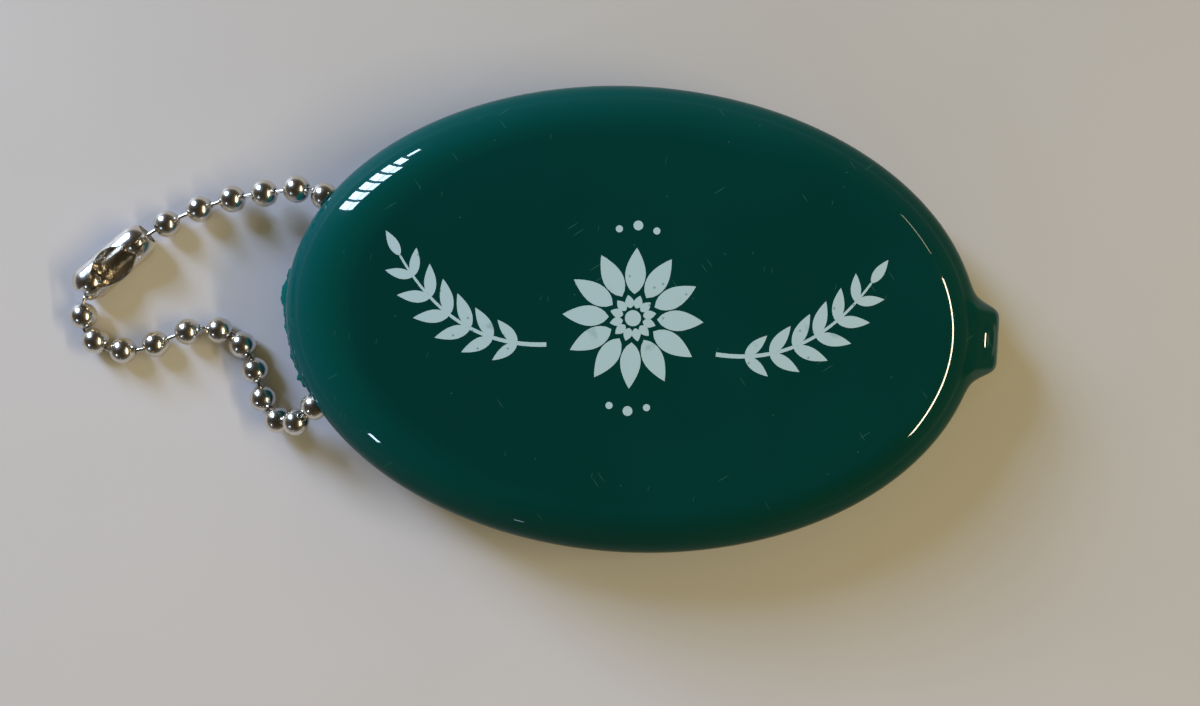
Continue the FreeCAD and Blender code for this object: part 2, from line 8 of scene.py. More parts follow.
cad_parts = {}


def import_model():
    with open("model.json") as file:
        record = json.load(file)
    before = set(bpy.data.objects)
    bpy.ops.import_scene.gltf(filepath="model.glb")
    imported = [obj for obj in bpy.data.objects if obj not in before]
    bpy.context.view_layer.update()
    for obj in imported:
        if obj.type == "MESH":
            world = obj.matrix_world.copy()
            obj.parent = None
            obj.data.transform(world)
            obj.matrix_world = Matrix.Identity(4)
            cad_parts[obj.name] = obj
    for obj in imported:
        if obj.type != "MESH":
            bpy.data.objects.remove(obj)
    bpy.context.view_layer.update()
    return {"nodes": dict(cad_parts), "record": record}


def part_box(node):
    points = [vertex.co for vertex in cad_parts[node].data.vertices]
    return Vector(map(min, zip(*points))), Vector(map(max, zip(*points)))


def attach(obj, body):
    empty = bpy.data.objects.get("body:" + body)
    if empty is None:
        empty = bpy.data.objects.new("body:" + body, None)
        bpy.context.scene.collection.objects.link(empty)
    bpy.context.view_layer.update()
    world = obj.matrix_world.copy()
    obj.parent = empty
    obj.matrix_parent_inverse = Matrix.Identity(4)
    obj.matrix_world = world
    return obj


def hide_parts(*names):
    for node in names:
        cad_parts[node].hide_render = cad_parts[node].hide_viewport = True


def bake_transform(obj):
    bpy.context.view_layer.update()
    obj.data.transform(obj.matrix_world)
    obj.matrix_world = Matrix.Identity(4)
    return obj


# Squeeze coin purse: a glossy vinyl oval with a slit back and a printed face, on a loop of ball chain.
# Sizes are in millimetres where no comment says metres. The purse lies face up on z = 0, with its nub
# towards +X and its chain at the -X end.

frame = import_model()
scene = bpy.context.scene
MM = 0.001
TURN = 2 * math.pi
UP = (0, 0, 1)
LEVEL = (1, 1, 0)


def node_box(node):
    return [np.array(corner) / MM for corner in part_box(node)]


shell_low, shell_high = node_box("purse_shell")
HALF_LENGTH = -shell_low[0]
HALF_WIDTH = shell_high[1]
TOP = shell_high[2]

# the oval form
WALL = 2.0
RIM_RADIUS = 5.6
BACK_RADIUS = 5.4
CROWN_RADIUS = 570.0
EQUATOR = 5.7

# the moulded nub
NUB_TIP = shell_high[0]
NUB_UPPER_EDGE, NUB_LOWER_EDGE = 8.1, 3.2
NUB_CORNER = 0.9
NUB_HALF_WIDTH = 4.2
NUB_SIDE_POWER = 10
NUB_FADE = 0.12
NUB_ROLL = 0.62
# the shares of the way down the nub's section that lie between the rim's rows and the back's rows
NUB_LAND_FROM, NUB_LAND_TO = 0.44, 0.56

# the dimple on the nub's top: a hollow inside a lip with a straight flank
DIMPLE_INSET = 1.4
DIMPLE_HALF_WIDTH = 0.48
DIMPLE_HALF_LENGTH = 1.4
DIMPLE_POWER = 3.2
DIMPLE_DEPTH = 0.104
# the lip's height, and its flank's width as a share of the dimple's half width
DIMPLE_LIP, DIMPLE_LIP_WIDTH = 0.097, 0.6

# the trimmed edge at the chain's end
EDGE_FROM, EDGE_TO = -10.4, 4.2
EDGE_FADE = 0.8
EDGE_PROUD = 0.42
EDGE_HALF_THICKNESS = 0.55
# each of its waves: rate, shift and height
EDGE_WAVES = ((1.7, 0.6, 0.08), (4.1, 2.0, 0.06), (9.7, 0.3, 0.04))
# each of its bumps: middle, reach and height
EDGE_BUMPS = ((0.6, 2.2, 0.45), (-5.2, 0.2, 0.12), (-6.6, 0.2, 0.15), (-8.8, 0.3, 0.55), (-9.9, 0.25, 0.3))

# painted light: the rim's colour is lighter, most of all on the side that faces this way, towards the window
RIM_WINDOW_SIDE = np.array([-0.97, 0.24])
RIM_FROM = 0.77
RIM_POWER = 2

# its side is less polished than its shoulder
DULL_FROM, DULL_TO, DULL_FADE = 0.66, 0.9, 0.13

# the mouth in the back
SLIT_HALF = 31.0
SLIT_GAP = 0.4
LIP_WIDTH = 15.0
LIP_EDGE_RADIUS = 0.5
# where a lip is narrow, its edge's radius is one of this many parts of its width
LIP_EDGE_PARTS = 3
LIP_TIP = 30.95
MOUTH_RADIUS = (SLIT_HALF**2 + LIP_WIDTH**2) / (2 * LIP_WIDTH)
MOUTH_SUNK = MOUTH_RADIUS - LIP_WIDTH

# the two side holes: the bead in each hole's mouth and the next bead inside
HOLES = ((7, 8), (14, 13))
HOLE_RADIUS = 1.8
HOLE_SEGMENTS = 64
# how far each hole is drilled, in steps from bead to bead
HOLE_REACH = 3

# how finely the skin is divided
STATIONS = 360
FINE_ANGLES = 4001
NUB_DENSITY, NUB_ANGLE = 5.0, 0.2
EDGE_DENSITY, EDGE_ANGLE = 2.0, 0.45
DENSITY_POWER = 4
FACE_SHARES = np.linspace(0.05, 0.95, 19)
RIM_ROLLS = np.concatenate([np.linspace(1, NUB_ROLL, 9)[:-1], np.linspace(NUB_ROLL, 0, 60)])
BACK_ROLLS = np.concatenate([np.linspace(0, NUB_ROLL, 20), np.linspace(NUB_ROLL, 1, 9)[1:]])
LAND_SHARES = np.linspace(0, 1, 8)[1:-1]
CORNER_STEPS = 17
INNER_ROLLS = np.linspace(0, 1, 9)
FLAT_SHARES = np.linspace(0, 1, 4)[1:]
LIP_STEPS = 96
LIP_ROWS = np.linspace(0, 1, 13)
LIP_ROUNDING = np.linspace(0, TURN / 4, 5)
VINYL_CREASE = 40

# the chain
END_BEADS = (1, 26)
BEAD_RADIUS = 1.6
BEAD_WALL = 0.18
BEAD_SHEET = 0.05
BEAD_HOLE = 0.39
BEAD_SEGMENTS = 40
BEAD_STEPS = 20
# a way that no bead's axis follows
BEAD_UP = (0.1, 0.2, 1)
HOLE_ROUNDING = 0.07
HOLE_FLARE = 0.16
# points of a bead hole's edge: how deep below the ball's outside, and how much wider than the hole's throat
HOLE_EDGE = ((0.012, 0.02), (0.035, 0.0), (0.08, 0.04))
COUPLING_REACH = 3.5
COUPLING_RADIUS = 2.2
COUPLING_WALL = 0.3
COUPLING_END_HOLE = 1.3
COUPLING_ROLL = math.radians(-22)
COUPLING_CAP_STEPS = 18
COUPLING_TUBE_STEPS = 36
COUPLING_AROUND = 40
SLOT_NECK_HALF = 0.5
SLOT_WINDOW = math.radians(67)
SLOT_REACH = 4.0
METAL_CREASE = 50


def smooth_step(share):
    share = np.clip(share, 0, 1)
    return share * share * (3 - 2 * share)


def unit(vector):
    return vector / np.linalg.norm(vector)


# Meshes

def new_object(name, points, faces, material):
    mesh = bpy.data.meshes.new(name)
    mesh.from_pydata((np.asarray(points) * MM).tolist(), [], faces)
    mesh.polygons.foreach_set("use_smooth", np.ones(len(mesh.polygons), bool))
    mesh.materials.append(material)
    obj = bpy.data.objects.new(name, mesh)
    scene.collection.objects.link(obj)
    return obj


def grid_faces(rows, columns, closed_rows=False):
    """Quads between the points of a grid of closed rings that is stored ring by ring."""
    faces = []
    for i in range(rows if closed_rows else rows - 1):
        here, there = i * columns, (i + 1) % rows * columns
        for j in range(columns):
            beside = (j + 1) % columns
            faces.append((here + j, there + j, there + beside, here + beside))
    return faces


def capped_faces(rows, columns):
    """The quads of a grid of closed rings, with a face over its first ring and one over its last."""
    last = (rows - 1) * columns
    caps = [tuple(range(columns)), tuple(range(last, last + columns))[::-1]]
    return grid_faces(rows, columns) + caps


def flipped(faces):
    return [face[::-1] for face in faces]


def crease(obj, degrees):
    """Edges that turn by more than an angle are drawn sharp."""
    obj.data.set_sharp_from_angle(angle=math.radians(degrees))


def carve(obj, cutter):
    """Takes the cutter away from an object, for good."""
    change = obj.modifiers.new("cut", "BOOLEAN")
    change.operation = "DIFFERENCE"
    change.solver = "EXACT"
    change.object = cutter
    view = bpy.context.evaluated_depsgraph_get()
    carved = bpy.data.meshes.new_from_object(obj.evaluated_get(view))
    carved.name = obj.name
    obj.modifiers.clear()
    obj.data = carved
    bpy.data.objects.remove(cutter)


def frame_of(axis, up):
    """A rotation whose columns are the axis, the way across it and the way nearest to up."""
    axis = unit(np.asarray(axis, float))
    across = unit(np.cross(up, axis))
    return np.column_stack([axis, across, np.cross(axis, across)])


def turned(profile, segments, rotation, centre):
    """Points of a profile of (along, radius) pairs turned about the rotation's first axis."""
    around = np.arange(segments) / segments * TURN
    along, radius = np.asarray(profile, float).T
    points = np.stack(
        [
            np.repeat(along[:, None], segments, 1),
            radius[:, None] * np.cos(around),
            radius[:, None] * np.sin(around),
        ],
        2,
    )
    return points.reshape(-1, 3) @ rotation.T + centre


# Materials

def new_material(name):
    material = bpy.data.materials.new(name)
    material.use_nodes = True
    return material, material.node_tree, material.node_tree.nodes["Principled BSDF"]


def feed(tree, node, inputs):
    """Sets a node's inputs, each given as its socket and a value or the output that feeds it."""
    for key, value in inputs:
        if isinstance(value, bpy.types.NodeSocket):
            tree.links.new(value, node.inputs[key])
        else:
            node.inputs[key].default_value = value


def add_node(tree, kind, inputs=(), **settings):
    node = tree.nodes.new(kind)
    for key, value in settings.items():
        setattr(node, key, value)
    feed(tree, node, inputs)
    return node


def maths(tree, operation, first, second):
    return add_node(tree, "ShaderNodeMath", [(0, first), (1, second)], operation=operation).outputs[0]


def mixed(tree, share, first, second):
    """A colour between two colours."""
    node = add_node(tree, "ShaderNodeMix", [(0, share), (6, first), (7, second)], data_type="RGBA")
    return node.outputs[2]


def ramped(tree, value, low, high):
    """A value that goes from 0 to 1 between two limits."""
    node = add_node(
        tree,
        "ShaderNodeMapRange",
        [("Value", value), ("From Min", low), ("From Max", high)],
        interpolation_type="SMOOTHSTEP",
    )
    return node.outputs["Result"]


def place(tree):
    return add_node(tree, "ShaderNodeTexCoord").outputs["Object"]


def painted(tree, name):
    """The share that a mesh stores for each point under a name."""
    return add_node(tree, "ShaderNodeAttribute", attribute_name=name).outputs["Fac"]


def noise(tree, where, scale, detail):
    node = add_node(tree, "ShaderNodeTexNoise", [("Vector", where), ("Scale", scale), ("Detail", detail)])
    return node.outputs["Fac"]


def patches(tree, where, scale, detail, low, high):
    """A mask of soft patches, from noise that fades in between two limits."""
    return ramped(tree, noise(tree, where, scale, detail), low, high)


def bumps(tree, where, scale, detail, strength, height):
    """A surface that is uneven by noise. The height is in metres."""
    rise = noise(tree, where, scale, detail)
    node = add_node(tree, "ShaderNodeBump", [("Height", rise), ("Strength", strength), ("Distance", height)])
    return node.outputs["Normal"]


FLECK_CORE = 0.5


def flecks(tree, where, turn, cell, size, kept):
    """A mask of sparse specks or hairlines: spots in stretched cells, of which a share is kept."""
    stretch = (cell[0] * MM, cell[1] * MM, 1)
    laid = add_node(
        tree,
        "ShaderNodeMapping",
        [("Vector", where), ("Rotation", (0, 0, math.radians(turn))), ("Scale", stretch)],
        vector_type="TEXTURE",
    ).outputs["Vector"]
    cells = add_node(
        tree,
        "ShaderNodeTexVoronoi",
        [("Vector", laid), ("Scale", 1.0)],
        voronoi_dimensions="2D",
    ).outputs
    chance = add_node(tree, "ShaderNodeSeparateColor", [("Color", cells["Color"])]).outputs["Red"]
    inside = ramped(tree, cells["Distance"], size, size * FLECK_CORE)
    return maths(tree, "MULTIPLY", inside, maths(tree, "GREATER_THAN", chance, 1 - kept))


# Patches are given as the scale and detail of their noise and the limits between which they fade in, and
# bumps as the scale and detail of their noise, their strength and their height in metres.

VINYL_DEEP = (0.0004, 0.0295, 0.0285, 1)
VINYL_CLOUD = (0.0005, 0.0345, 0.0335, 1)
# the rim's colour with painted light, lightest on the side towards the window
VINYL_RIM_PAINTED_LIGHT = (0.0006, 0.0875, 0.0835, 1)
# the trimmed edge's colour: paler thinner vinyl, with painted light coming through it
VINYL_THIN_AND_LIT = (0.002, 0.115, 0.100, 1)
VINYL_WORN = (0.045, 0.14, 0.13, 1)
VINYL_PATCHES = (35.0, 3.0, 0.35, 0.75)
VINYL_BUMPS = (140.0, 2.0, 0.02, 0.0004)
VINYL_SHEEN = 0.01
POLISH, POLISH_FILM, POLISH_WORN = 0.08, 0.08, 0.4
FILM_SCALE, FILM_DETAIL = 90.0, 3.0
GLOSS, GLOSS_DULL = 0.95, 0.12
GLOSS_ROUGHNESS = 0.02
# each kind of mark: its turn, the size of the cells it is strewn in, its share of a cell and the share kept
HAIRLINES = ((35, (16, 0.7), 0.06, 0.05), (-52, (13, 0.6), 0.06, 0.05), (80, (9, 0.6), 0.05, 0.04))
SPECKS = (0, (3.3, 3.3), 0.03, 0.10)
MARK_STRENGTH = 0.5


def vinyl_material():
    """Wet-look vinyl: deep green, with painted light round the rim, lightest on its side towards the window,
    and paler along the trimmed edge where it is thinner, partly its own colour and partly painted light
    coming through it, with specks of dust and hairline scratches."""
    material, tree, shader = new_material("vinyl")
    where = place(tree)
    colour = mixed(tree, patches(tree, where, *VINYL_PATCHES), VINYL_DEEP, VINYL_CLOUD)
    # painted light: the rim is lighter, most of all on its side towards the window
    colour = mixed(tree, painted(tree, "rim"), colour, VINYL_RIM_PAINTED_LIGHT)
    # the trimmed edge: paler where thinner, and painted light coming through it
    colour = mixed(tree, painted(tree, "thin_and_lit"), colour, VINYL_THIN_AND_LIT)
    worn = flecks(tree, where, *SPECKS)
    for line in HAIRLINES:
        worn = maths(tree, "MAXIMUM", worn, flecks(tree, where, *line))
    worn = maths(tree, "MULTIPLY", worn, MARK_STRENGTH)
    rough = POLISH
    film = noise(tree, where, FILM_SCALE, FILM_DETAIL)
    for share, much in ((film, POLISH_FILM), (worn, POLISH_WORN)):
        rough = maths(tree, "ADD", maths(tree, "MULTIPLY", share, much), rough)
    lost = maths(tree, "MULTIPLY", painted(tree, "dull"), GLOSS - GLOSS_DULL)
    surface = bumps(tree, where, *VINYL_BUMPS)
    inputs = [
        ("Base Color", mixed(tree, worn, colour, VINYL_WORN)),
        ("Roughness", rough),
        ("Specular IOR Level", VINYL_SHEEN),
        ("Coat Weight", maths(tree, "SUBTRACT", GLOSS, lost)),
        ("Coat Roughness", GLOSS_ROUGHNESS),
        ("Normal", surface),
        ("Coat Normal", surface),
    ]
    feed(tree, shader, inputs)
    return material


INK = (0.32, 0.465, 0.56, 1)
INK_THIN = (0.15, 0.27, 0.31, 1)
INK_PATCHES = (420.0, 5.0, 0.62, 0.74)
INK_PATCH_STRENGTH = 0.5
# the same four values as for the marks on the vinyl
INK_PINHOLES = (20, (1.1, 1.1), 0.16, 0.12)
INK_ROUGHNESS = 0.42


def ink_material():
    """Screen-print ink: chalky, a little patchy, with pinholes."""
    material, tree, shader = new_material("ink")
    where = place(tree)
    faded = maths(tree, "MULTIPLY", patches(tree, where, *INK_PATCHES), INK_PATCH_STRENGTH)
    gone = maths(tree, "MAXIMUM", faded, flecks(tree, where, *INK_PINHOLES))
    feed(tree, shader, [("Base Color", mixed(tree, gone, INK, INK_THIN)), ("Roughness", INK_ROUGHNESS)])
    return material


NICKEL = (0.76, 0.72, 0.65, 1)
NICKEL_DULL = (0.57, 0.52, 0.42, 1)
NICKEL_PATCHES = (900.0, 4.0, 0.45, 0.8)
NICKEL_BUMPS = (2500.0, 2.0, 0.06, 0.00005)
NICKEL_POLISH, NICKEL_POLISH_FILM = 0.20, 0.10


def metal_material():
    """Bright nickel plate with a faint film of handling."""
    material, tree, shader = new_material("nickel")
    where = place(tree)
    film = patches(tree, where, *NICKEL_PATCHES)
    inputs = [
        ("Base Color", mixed(tree, film, NICKEL, NICKEL_DULL)),
        ("Metallic", 1.0),
        ("Roughness", maths(tree, "ADD", maths(tree, "MULTIPLY", film, NICKEL_POLISH_FILM), NICKEL_POLISH)),
        ("Normal", bumps(tree, where, *NICKEL_BUMPS)),
    ]
    feed(tree, shader, inputs)
    return material


VINYL = vinyl_material()
INK_PRINT = ink_material()
METAL = metal_material()


# The purse

def station_angles():
    """Angles round the oval, closer together at the nub and along the trimmed edge."""
    fine = np.linspace(0, TURN, FINE_ANGLES)
    from_nub = np.minimum(fine, TURN - fine)
    from_edge = np.abs(fine - math.pi)
    density = 1 + NUB_DENSITY * np.exp(-((from_nub / NUB_ANGLE) ** DENSITY_POWER))
    density += EDGE_DENSITY * np.exp(-((from_edge / EDGE_ANGLE) ** DENSITY_POWER))
    passed = np.concatenate([[0], np.cumsum((density[1:] + density[:-1]) / 2)])
    return np.interp(np.arange(STATIONS) / STATIONS * passed[-1], passed, fine)


def oval(angles, drawn_in):
    """Points of the oval, drawn in all round, and the ways out of it."""
    long_half, short_half = HALF_LENGTH - drawn_in, HALF_WIDTH - drawn_in
    edge = np.column_stack([long_half * np.cos(angles), short_half * np.sin(angles)])
    out = np.column_stack([short_half * np.cos(angles), long_half * np.sin(angles)])
    return edge, out / np.linalg.norm(out, axis=1, keepdims=True)


def face_height(flat, drawn_in=0.0):
    """Height of the crowned face over points of the plane."""
    return TOP - CROWN_RADIUS + np.sqrt((CROWN_RADIUS - drawn_in) ** 2 - (flat**2).sum(-1))


def ring(flat, height):
    return np.column_stack([flat, np.broadcast_to(height, len(flat))])


def pillow(angles, drawn_in, rim_rolls, back_rolls):
    """Rings from near the middle of the face, round the rim, to the edge of the back's flat."""
    edge, out = oval(angles, drawn_in)
    rim, back = RIM_RADIUS - drawn_in, BACK_RADIUS - drawn_in
    hub = edge - rim * out
    reach = np.sqrt((CROWN_RADIUS - RIM_RADIUS) ** 2 - (hub**2).sum(1))
    hub_height = TOP - CROWN_RADIUS + reach
    steepest = np.arctan2(reach, (hub * out).sum(1))
    shoulder = hub + rim * np.cos(steepest)[:, None] * out
    rings = [ring(shoulder * s, face_height(shoulder * s, drawn_in)) for s in FACE_SHARES]
    for roll in rim_rolls:
        rise = roll * steepest
        rings.append(ring(hub + rim * np.cos(rise)[:, None] * out, hub_height + rim * np.sin(rise)))
    foot = edge - back * out
    foot_height = drawn_in + back
    land = hub_height - foot_height
    rings += [ring(edge, hub_height - share * land) for share in LAND_SHARES]
    for roll in back_rolls:
        fall = roll * TURN / 4
        rings.append(ring(foot + back * math.cos(fall) * out, foot_height - back * math.sin(fall)))
    return np.array(rings)


def rounded(corners, radius):
    """A line through corners, with the inner ones rounded off."""
    corners = np.array(corners, float)
    line = [corners[0]]
    share = np.linspace(0, 1, CORNER_STEPS)[:, None]
    for before, corner, after in zip(corners, corners[1:], corners[2:]):
        start = corner + radius * unit(before - corner)
        end = corner + radius * unit(after - corner)
        line += list((1 - share) ** 2 * start + 2 * share * (1 - share) * corner + share**2 * end)
    return np.array([*line, corners[-1]])


def dimple_lift(side):
    """How far the dimple and its lip lift points of the nub."""
    from_middle = np.abs(side[:, :, 0] - NUB_TIP + DIMPLE_INSET) / DIMPLE_HALF_WIDTH
    along = np.abs(side[:, :, 1]) / DIMPLE_HALF_LENGTH
    apart = (from_middle**DIMPLE_POWER + along**DIMPLE_POWER) ** (1 / DIMPLE_POWER)
    lip = DIMPLE_LIP * np.clip(1 + (1 - apart) / DIMPLE_LIP_WIDTH, 0, 1)
    hollow = DIMPLE_DEPTH * smooth_step(1 - apart)
    return (lip - hollow) * (side[:, :, 2] > EQUATOR)


def add_nub(rings):
    """Draws the side of the rim out into the moulded nub, which fades into the oval on both sides. Returns
    how much of the nub each point has."""
    face_rows = len(FACE_SHARES)
    upper = np.flatnonzero(RIM_ROLLS <= NUB_ROLL) + face_rows
    land = face_rows + len(RIM_ROLLS) + np.arange(len(LAND_SHARES))
    lower = np.flatnonzero(BACK_ROLLS <= NUB_ROLL) + land[-1] + 1
    down = np.concatenate(
        [
            np.linspace(0, NUB_LAND_FROM, len(upper)),
            np.linspace(NUB_LAND_FROM, NUB_LAND_TO, len(land) + 2)[1:-1],
            np.linspace(NUB_LAND_TO, 1, len(lower)),
        ]
    )
    rows = np.concatenate([upper, land, lower])
    middle_station = 0
    first, last = rings[upper[0], middle_station, ::2], rings[lower[-1], middle_station, ::2]
    section = rounded([first, (NUB_TIP, NUB_UPPER_EDGE), (NUB_TIP, NUB_LOWER_EDGE), last], NUB_CORNER)
    passed = np.concatenate([[0], np.cumsum(np.linalg.norm(np.diff(section, axis=0), axis=1))])
    out, high = (np.interp(down, passed / passed[-1], way) for way in section.T)
    level = rings[land[0]]
    across = 1 / (1 + np.abs(level[:, 1] / NUB_HALF_WIDTH) ** NUB_SIDE_POWER)
    across = np.where(level[:, 0] > 0, across, 0)
    weight = (smooth_step(down / NUB_FADE) * smooth_step((1 - down) / NUB_FADE))[:, None] * across
    side = rings[rows]
    side[:, :, 0] += weight * (out[:, None] - side[:, :, 0])
    side[:, :, 2] += weight * (high[:, None] - side[:, :, 2])
    side[:, :, 2] += dimple_lift(side)
    rings[rows] = side
    share = np.zeros(rings.shape[:2])
    share[rows] = weight
    return share


def add_trimmed_edge(rings, out):
    """Raises the uneven ridge where the moulding was trimmed, and returns how far each point is into its
    thinner edge, which the vinyl colours paler, partly its own colour and partly painted light coming
    through it.
    """
    across = rings[:, :, 1]
    proud = np.full(across.shape, EDGE_PROUD)
    for rate, shift, height in EDGE_WAVES:
        proud += height * np.sin(rate * across + shift)
    for middle, reach, height in EDGE_BUMPS:
        proud += height * np.exp(-(((across - middle) / reach) ** 2))
    proud *= smooth_step((across - EDGE_FROM) / EDGE_FADE) * smooth_step((EDGE_TO - across) / EDGE_FADE)
    ridge = np.exp(-(((rings[:, :, 2] - EQUATOR) / EDGE_HALF_THICKNESS) ** 2))
    ridge *= rings[:, :, 0] < 0
    rings[:, :, :2] += (proud * ridge)[:, :, None] * out
    return np.clip(proud * ridge / EDGE_PROUD, 0, 1)


def painted_rim_light(rings, out):
    """How much painted light each point gets, from the face to the rim and most on the rim's side towards
    the window.
    """
    from_middle = np.linalg.norm(rings[:, :, :2] / (HALF_LENGTH, HALF_WIDTH), axis=2)
    reach = np.clip((from_middle - RIM_FROM) / (1 - RIM_FROM), 0, 1)
    return reach * smooth_step((1 + out @ RIM_WINDOW_SIDE) / 2) ** RIM_POWER


def rim_dullness(nub):
    """How dull each point is: the rim's side is dull, and the face and the nub are polished."""
    face = np.zeros(len(FACE_SHARES))
    rim = smooth_step((DULL_FROM - RIM_ROLLS) / DULL_FADE)
    land = np.ones(len(LAND_SHARES))
    back = smooth_step((DULL_TO - BACK_ROLLS) / DULL_FADE)
    return np.concatenate([face, rim, land, back])[:, None] * (1 - nub)


def mouth_edge(flat):
    """Where the mouth's edge lies in the direction of each point of the back."""
    way = flat / np.linalg.norm(flat, axis=1, keepdims=True)
    sunk = MOUTH_SUNK * np.abs(way[:, 1:])
    return way * (np.sqrt(SLIT_HALF**2 + sunk**2) - sunk)


def bead_centre(number):
    return sum(node_box(f"chain_bead_{number:02d}")) / 2


def drill(mouth_bead, inner_bead):
    """A round cutter along the hole that the chain comes out of."""
    inside, outside = bead_centre(inner_bead), bead_centre(mouth_bead)
    rotation = frame_of(outside - inside, UP)
    length = HOLE_REACH * np.linalg.norm(outside - inside)
    points = turned([(0, HOLE_RADIUS), (length, HOLE_RADIUS)], HOLE_SEGMENTS, rotation, inside)
    return new_object("drill", points, flipped(capped_faces(2, HOLE_SEGMENTS)), VINYL)


def paint(obj, name, values):
    """Stores a share for the points of the first rings, and 0 for the rest."""
    layer = obj.data.attributes.new(name, "FLOAT", "POINT")
    rest = len(obj.data.vertices) - values.size
    layer.data.foreach_set("value", np.pad(values.ravel(), (0, rest)).astype(np.float32))


def purse_skin():
    angles = station_angles()
    out = oval(angles, 0)[1]
    outer = pillow(angles, 0, RIM_ROLLS, BACK_ROLLS)
    nub = add_nub(outer)
    thin_and_lit = add_trimmed_edge(outer, out)
    inner = pillow(angles, WALL, INNER_ROLLS[::-1], INNER_ROLLS)
    edge = mouth_edge(outer[-1][:, :2])
    back = [ring((1 - s) * outer[-1][:, :2] + s * edge, 0) for s in FLAT_SHARES]
    floor = [ring((1 - s) * inner[-1][:, :2] + s * edge, WALL) for s in FLAT_SHARES]
    rings = np.array([*outer, *back, *floor[::-1], *inner[::-1]])
    points = np.concatenate([rings.reshape(-1, 3), [(0, 0, TOP), (0, 0, TOP - WALL)]])
    top, under = len(points) - 2, len(points) - 1
    last = (len(rings) - 1) * STATIONS
    faces = grid_faces(len(rings), STATIONS)
    for j in range(STATIONS):
        beside = (j + 1) % STATIONS
        faces.append((top, j, beside))
        faces.append((under, last + beside, last + j))
    skin = new_object("purse_skin", points, faces, VINYL)
    # the trimmed edge's paler colour, partly painted light coming through it
    paint(skin, "thin_and_lit", thin_and_lit)
    # painted light on the rim, most of all on its side towards the window
    paint(skin, "rim", painted_rim_light(outer, out))
    paint(skin, "dull", rim_dullness(nub))
    for mouth_bead, inner_bead in HOLES:
        carve(skin, drill(mouth_bead, inner_bead))
    crease(skin, VINYL_CREASE)
    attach(skin, "purse")
    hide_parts("purse_shell")


def lip_skin(name, node, side):
    """One lip of the mouth: a strip from the crease to the slit, with its edge at the slit rounded."""
    along = LIP_TIP * np.sin(np.linspace(-TURN / 4, TURN / 4, LIP_STEPS))
    rows = []
    for x in along:
        crease_y = math.sqrt(MOUTH_RADIUS**2 - x**2) - MOUTH_SUNK
        slit_y = min(SLIT_GAP / 2 * (1 - (x / SLIT_HALF) ** 2), crease_y / 2)
        radius = min(LIP_EDGE_RADIUS, (crease_y - slit_y) / LIP_EDGE_PARTS)
        low = [(crease_y + s * (slit_y + radius - crease_y), 0) for s in LIP_ROWS]
        for angle in LIP_ROUNDING[1:]:
            low.append((slit_y + radius * (1 - math.sin(angle)), radius * (1 - math.cos(angle))))
        high = [(y, WALL - z) for y, z in reversed(low)]
        rows.append([(x, side * y, z) for y, z in low + high])
    faces = capped_faces(LIP_STEPS, len(rows[0]))
    if side > 0:
        faces = flipped(faces)
    points = np.array(rows).reshape(-1, 3)
    skin = new_object(name, points, faces, VINYL)
    crease(skin, VINYL_CREASE)
    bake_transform(skin)
    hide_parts(node)


# The print on the face: a rosette between two sprays of leaves

PRINT_LIFT = 0.03
PRINT_SINK = 0.05
PETALS = 12
# where a petal starts, its length and its width
OUTER_PETAL = (2.7, 5.2, 2.3)
INNER_PETAL = (1.15, 1.5, 1.0)
HEART_RADIUS = 0.9
# the points that bend a spray's stem
SPRAY = ((9.5, -3.5), (20.0, -4.5), (26.5, 5.5))
STEM_WIDTH = 0.5
STEM_TAPER = 0.5
LEAF_PLACES = np.linspace(0.16, 0.88, 6)
LEAF_SHORTEST, LEAF_GAIN = 2.7, 1.5
LEAF_LENGTHS = LEAF_SHORTEST + LEAF_GAIN * np.sin(math.pi * LEAF_PLACES)
LEAF_SLIMNESS = 0.36
LEAF_SPREAD = math.radians(42)
LEAF_LEAN, LEAF_FULLNESS = 0.8, 0.9
# the dots above and below the rosette: how far across, how far from its middle, and their radius
DOTS = ((0.0, 10.4, 0.55), (2.1, 9.9, 0.4), (-2.1, 9.9, 0.4))
OUTLINE_STEPS = 12


def leaf(start, heading, length, width):
    """The outline of a leaf that is round towards its root and pointed at its tip."""
    share = np.linspace(0, 1, OUTLINE_STEPS)
    half = width / 2 * np.sin(math.pi * share**LEAF_LEAN) ** LEAF_FULLNESS
    there = np.column_stack([share * length, half])
    back = np.column_stack([share * length, -half])[-2:0:-1]
    outline = np.concatenate([there, back])
    cos, sin = math.cos(heading), math.sin(heading)
    return outline @ np.array([[cos, sin], [-sin, cos]]) + start


def petal(heading, start, length, width):
    """A leaf that points away from the middle of the face."""
    way = np.array([math.cos(heading), math.sin(heading)])
    return leaf(start * way, heading, length, width)


def disc(x, y, radius):
    around = np.arange(2 * OUTLINE_STEPS) / (2 * OUTLINE_STEPS) * TURN
    return np.column_stack([x + radius * np.cos(around), y + radius * np.sin(around)])


def spray(side):
    """A curved stem with pairs of leaves, towards +X for side 1 and towards -X for side -1."""
    a, b, c = (np.array(p) * (side, 1) for p in SPRAY)
    share = np.linspace(0, 1, 2 * OUTLINE_STEPS)[:, None]

    def stem(s):
        return (1 - s) ** 2 * a + 2 * s * (1 - s) * b + s * s * c

    def way(s):
        return math.atan2(*reversed((1 - s) * (b - a) + s * (c - b)))

    line = stem(share)
    normal = np.array([(-math.sin(way(s)), math.cos(way(s))) for s in share[:, 0]])
    half = STEM_WIDTH / 2 * (1 - STEM_TAPER * share)
    shapes = [np.concatenate([line + half * normal, (line - half * normal)[::-1]])]
    for place_on, length in zip(LEAF_PLACES, LEAF_LENGTHS):
        for turn in (LEAF_SPREAD, -LEAF_SPREAD):
            shapes.append(leaf(stem(place_on), way(place_on) + turn, length, length * LEAF_SLIMNESS))
    shapes.append(leaf(stem(1.0), way(1.0), LEAF_LENGTHS[-1], LEAF_LENGTHS[-1] * LEAF_SLIMNESS))
    return shapes


